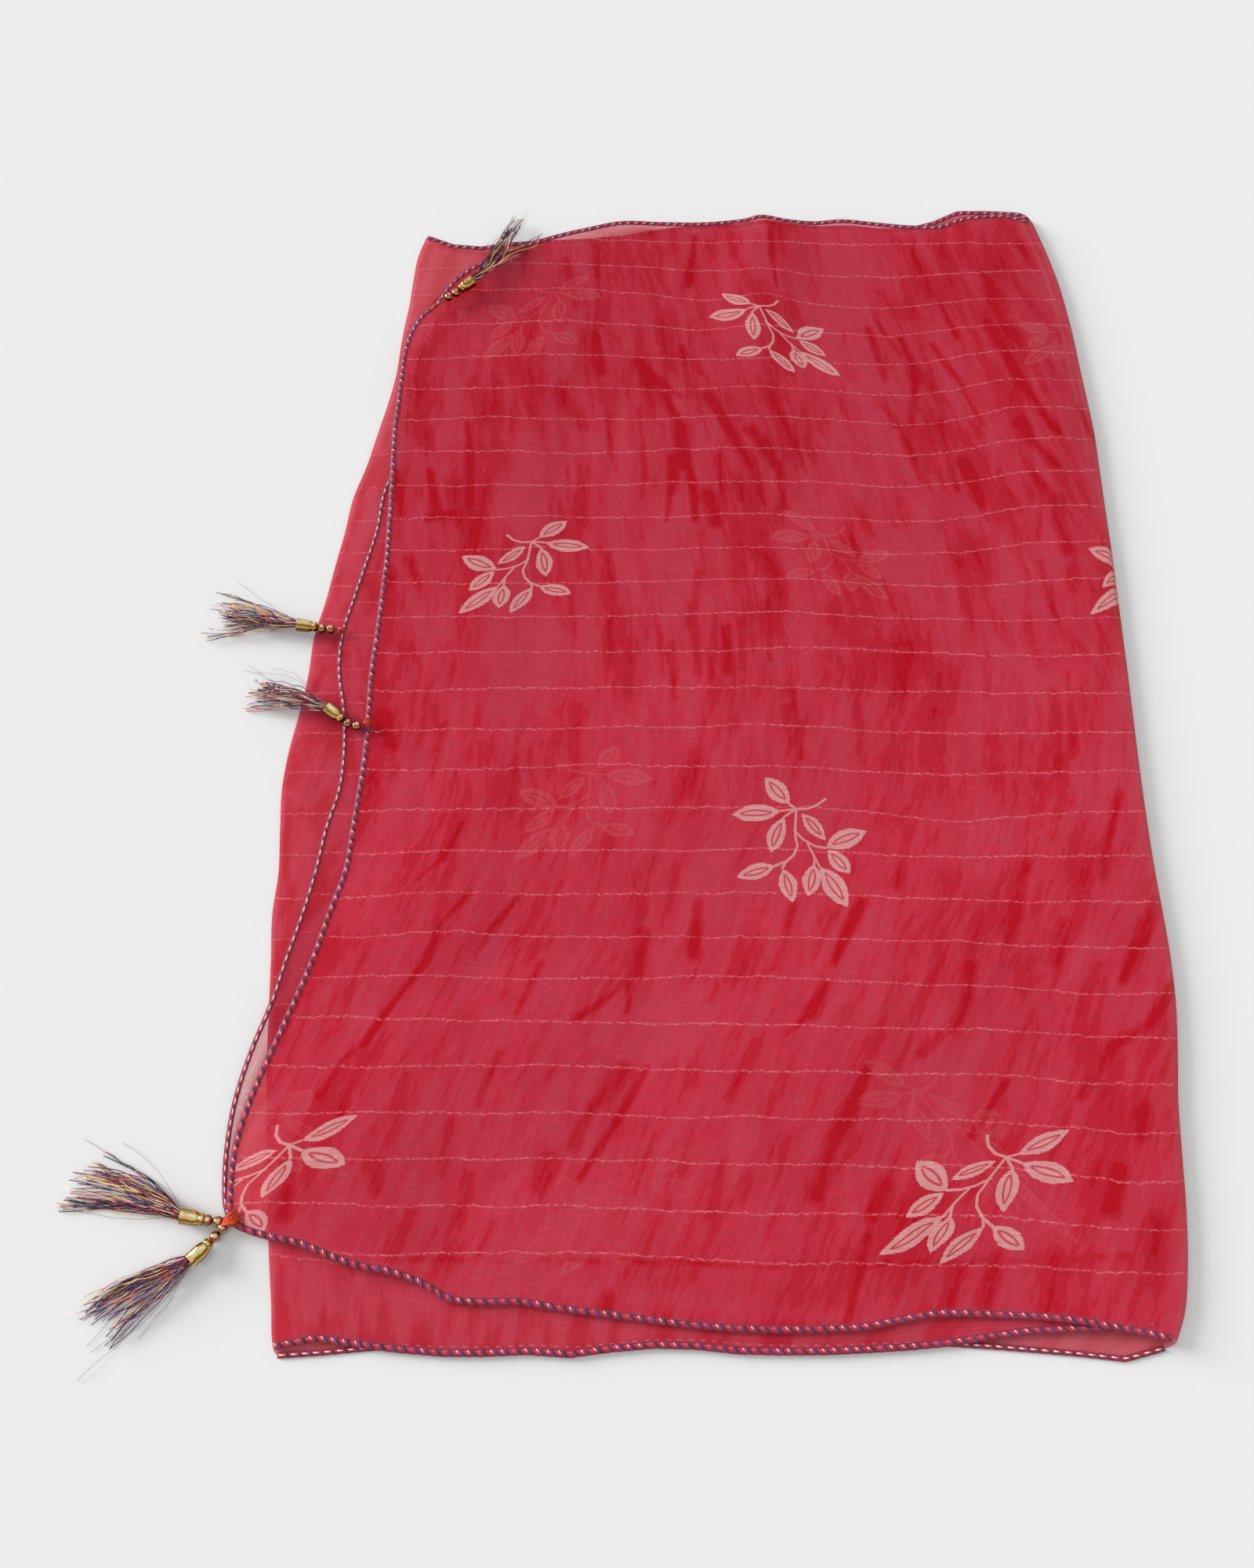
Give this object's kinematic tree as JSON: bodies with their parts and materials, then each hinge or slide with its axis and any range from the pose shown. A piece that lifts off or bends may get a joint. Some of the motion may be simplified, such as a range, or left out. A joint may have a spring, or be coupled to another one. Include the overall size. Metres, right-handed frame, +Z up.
{
  "type": "folded scarf",
  "caption": "Sheer rectangular scarf folded in four and laid flat, with overlocked hems and beaded thread tassels along its short ends.",
  "frame": {"origin": "under the middle of the whole outline, on the surface that the scarf lies on", "axes": "+X from the hemmed short ends with their tassels towards the folds, +Y from the near hems to the far hems, +Z up out of the surface"},
  "size_m": [0.5995, 0.7465, 0.0164],
  "materials": {
    "cloth": "sheer crimson chiffon with thin pale slub stripes and a woven sprig, matt with a faint sheen",
    "hem_thread": "red cord overcast with purple and pale pink thread",
    "tassel_thread": "mixed silky threads, burgundy, violet, gold, pink and near black",
    "orange_thread": "orange sewing thread",
    "brass": "worn polished brass",
    "bead_metal": "rose gold plated"
  },
  "bodies": {
    "root": {"front_leaf": "cloth", "second_leaf": "cloth", "back_leaves": "cloth", "front_hem_left": "hem_thread", "front_hem_near": "hem_thread", "front_hem_far": "hem_thread", "second_hem_left": "hem_thread", "third_hem_near": "hem_thread", "third_hem_far_left": "hem_thread", "third_hem_far_right": "hem_thread", "fourth_hem_near_left": "hem_thread", "fourth_hem_near_right": "hem_thread", "tassel_1_stitch": "orange_thread", "tassel_1_bead_a": "bead_metal", "tassel_1_bead_b": "bead_metal", "tassel_1_cap": "brass", "tassel_1_skirt": "tassel_thread", "tassel_2_stitch": "orange_thread", "tassel_2_bead_a": "bead_metal", "tassel_2_bead_b": "bead_metal", "tassel_2_cap": "brass", "tassel_2_skirt": "tassel_thread", "tassel_3_stitch": "orange_thread", "tassel_3_bead_a": "bead_metal", "tassel_3_bead_b": "bead_metal", "tassel_3_cap": "brass", "tassel_3_skirt": "tassel_thread", "tassel_4_stitch": "orange_thread", "tassel_4_bead_a": "bead_metal", "tassel_4_bead_b": "bead_metal", "tassel_4_cap": "brass", "tassel_4_skirt": "tassel_thread", "tassel_5_stitch": "orange_thread", "tassel_5_bead_a": "bead_metal", "tassel_5_bead_b": "bead_metal", "tassel_5_cap": "brass", "tassel_5_skirt": "tassel_thread"}
  },
  "joints": []
}
